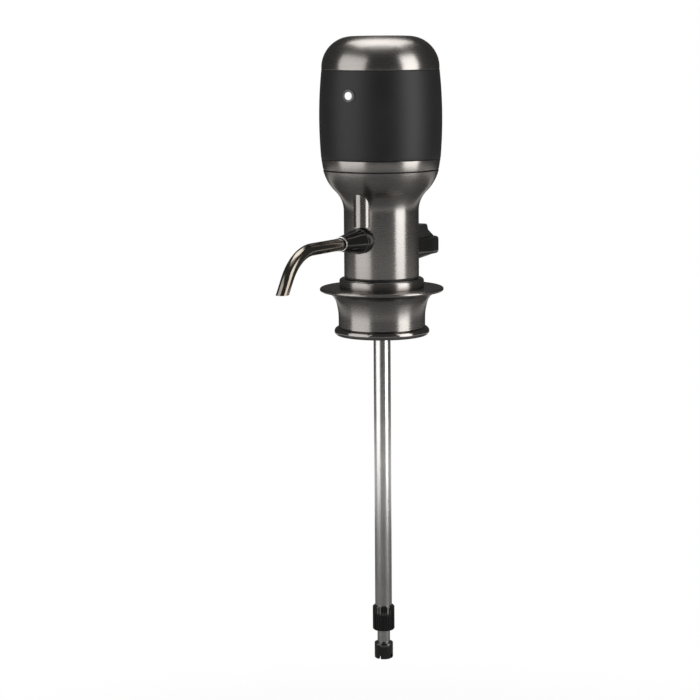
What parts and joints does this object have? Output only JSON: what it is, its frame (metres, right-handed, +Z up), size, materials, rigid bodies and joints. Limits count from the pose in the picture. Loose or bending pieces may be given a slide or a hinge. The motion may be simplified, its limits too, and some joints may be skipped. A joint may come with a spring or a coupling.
{
  "type": "electric wine aerator",
  "caption": "Battery-powered wine aerator and pourer: plug and skirt for a bottle's mouth, slim neck with a bent spout, barrel housing with a push button, telescopic dip tube.",
  "frame": {"origin": "centre of the plug's seat on the bottle's lip", "axes": "+Z up along the bottle's axis, -Y towards the spout and the button, +Y towards the thumb lever"},
  "size_m": [0.058, 0.1265, 0.2952],
  "materials": {
    "gunmetal": "satin dark gunmetal anodising",
    "steel": "fine brushed stainless steel",
    "soft_black": "soft-touch black",
    "gloss_black": "polished black moulding",
    "moulded_grey": "plain moulding",
    "seal_black": "soft rubber",
    "brass": "bare brass",
    "cell_wrap": "plain cell wrap",
    "board_green": "solder mask",
    "clear_white": "milky translucent moulding"
  },
  "bodies": {
    "base": {"base_skirt": "gunmetal", "base_collar": "gunmetal", "neck_gasket": "seal_black", "bottle_plug": "seal_black", "manifold": "moulded_grey", "dip_tube": "steel", "tube_gland": "gloss_black", "slide_seal": "seal_black", "neck_shell": "gunmetal", "wine_riser": "clear_white", "spout_port": "gloss_black", "spout_seal": "seal_black", "pump_cover": "moulded_grey", "valve_plate": "gloss_black", "diaphragm": "seal_black", "pump_housing": "moulded_grey", "motor_can": "steel", "motor_cap": "gloss_black", "pump_screws": "steel", "air_hose": "clear_white", "rear_bracket": "gloss_black", "bracket_screws": "steel", "lever_pin": "steel", "lever_springs": "steel", "vent_valve": "brass", "vent_pipe": "brass", "bulkhead": "moulded_grey", "battery_cage": "gloss_black", "batteries": "cell_wrap", "contact_springs": "steel", "contact_plates": "brass", "cage_screws": "steel", "control_board": "board_green", "tact_switch": "gloss_black", "status_led": "clear_white"},
    "cover": {"inner_sleeve": "moulded_grey", "grip_band": "soft_black", "trim_ring": "gunmetal", "top_cap": "gunmetal", "button_bezel": "moulded_grey"},
    "button": {"power_button": "clear_white"},
    "switch_plunger_body": {"switch_plunger": "seal_black"},
    "lever": {"thumb_lever": "soft_black"},
    "vent_plunger_body": {"vent_plunger": "steel"},
    "spout": {"spout_fitting": "gloss_black", "spout_ring": "steel", "spout_tube": "steel"},
    "dip_lower": {"inner_tube": "steel", "stop_ring": "seal_black", "intake_tip": "gloss_black"},
    "rotor": {"motor_shaft": "steel", "crank": "steel"},
    "wobble": {"wobble_plate": "clear_white"}
  },
  "joints": [
    {"name": "housing_twist", "type": "hinge", "parent": "base", "child": "cover", "pos_m": [0, 0, 0.062], "axis": [0, 0, 1], "range_deg": [0, 30]},
    {"name": "button_press", "type": "slide", "parent": "cover", "child": "button", "axis": [0, 1, 0], "range_m": [0, 0.0008], "stiffness_N_per_m": 600},
    {"name": "switch_press", "type": "slide", "parent": "base", "child": "switch_plunger_body", "axis": [0, 1, 0], "range_m": [0, 0.0008]},
    {"name": "lever_press", "type": "hinge", "parent": "base", "child": "lever", "pos_m": [0, 0.03345, 0.0254], "axis": [1, 0, 0], "range_deg": [0, 7], "stiffness_Nm_per_rad": 0.3, "springref_deg": -2.86, "deforming": ["lever_springs"]},
    {"name": "vent_press", "type": "slide", "parent": "base", "child": "vent_plunger_body", "axis": [0, 0, -1], "range_m": [0, 0.0007]},
    {"name": "spout_pull", "type": "slide", "parent": "base", "child": "spout", "axis": [0, -1, 0], "range_m": [0, 0.018]},
    {"name": "tube_extend", "type": "slide", "parent": "base", "child": "dip_lower", "axis": [0, 0, -1], "range_m": [0, 0.11]},
    {"name": "pump_spin", "type": "hinge", "parent": "base", "child": "rotor", "pos_m": [0, 0, 0.0301], "axis": [0, 0, 1], "continuous": true, "deforming": ["diaphragm"]},
    {"name": "wobble_rock", "type": "hinge", "parent": "rotor", "child": "wobble", "pos_m": [0, 0, 0.0301], "axis": [0.1045, 0, 0.9945], "continuous": true}
  ],
  "couplings": [
    {"joint": "switch_press", "follows": "button_press", "ratio": 1},
    {"joint": "vent_press", "follows": "lever_press", "m_per_rad": 0.00515},
    {"joint": "wobble_rock", "follows": "pump_spin", "ratio": -1}
  ]
}
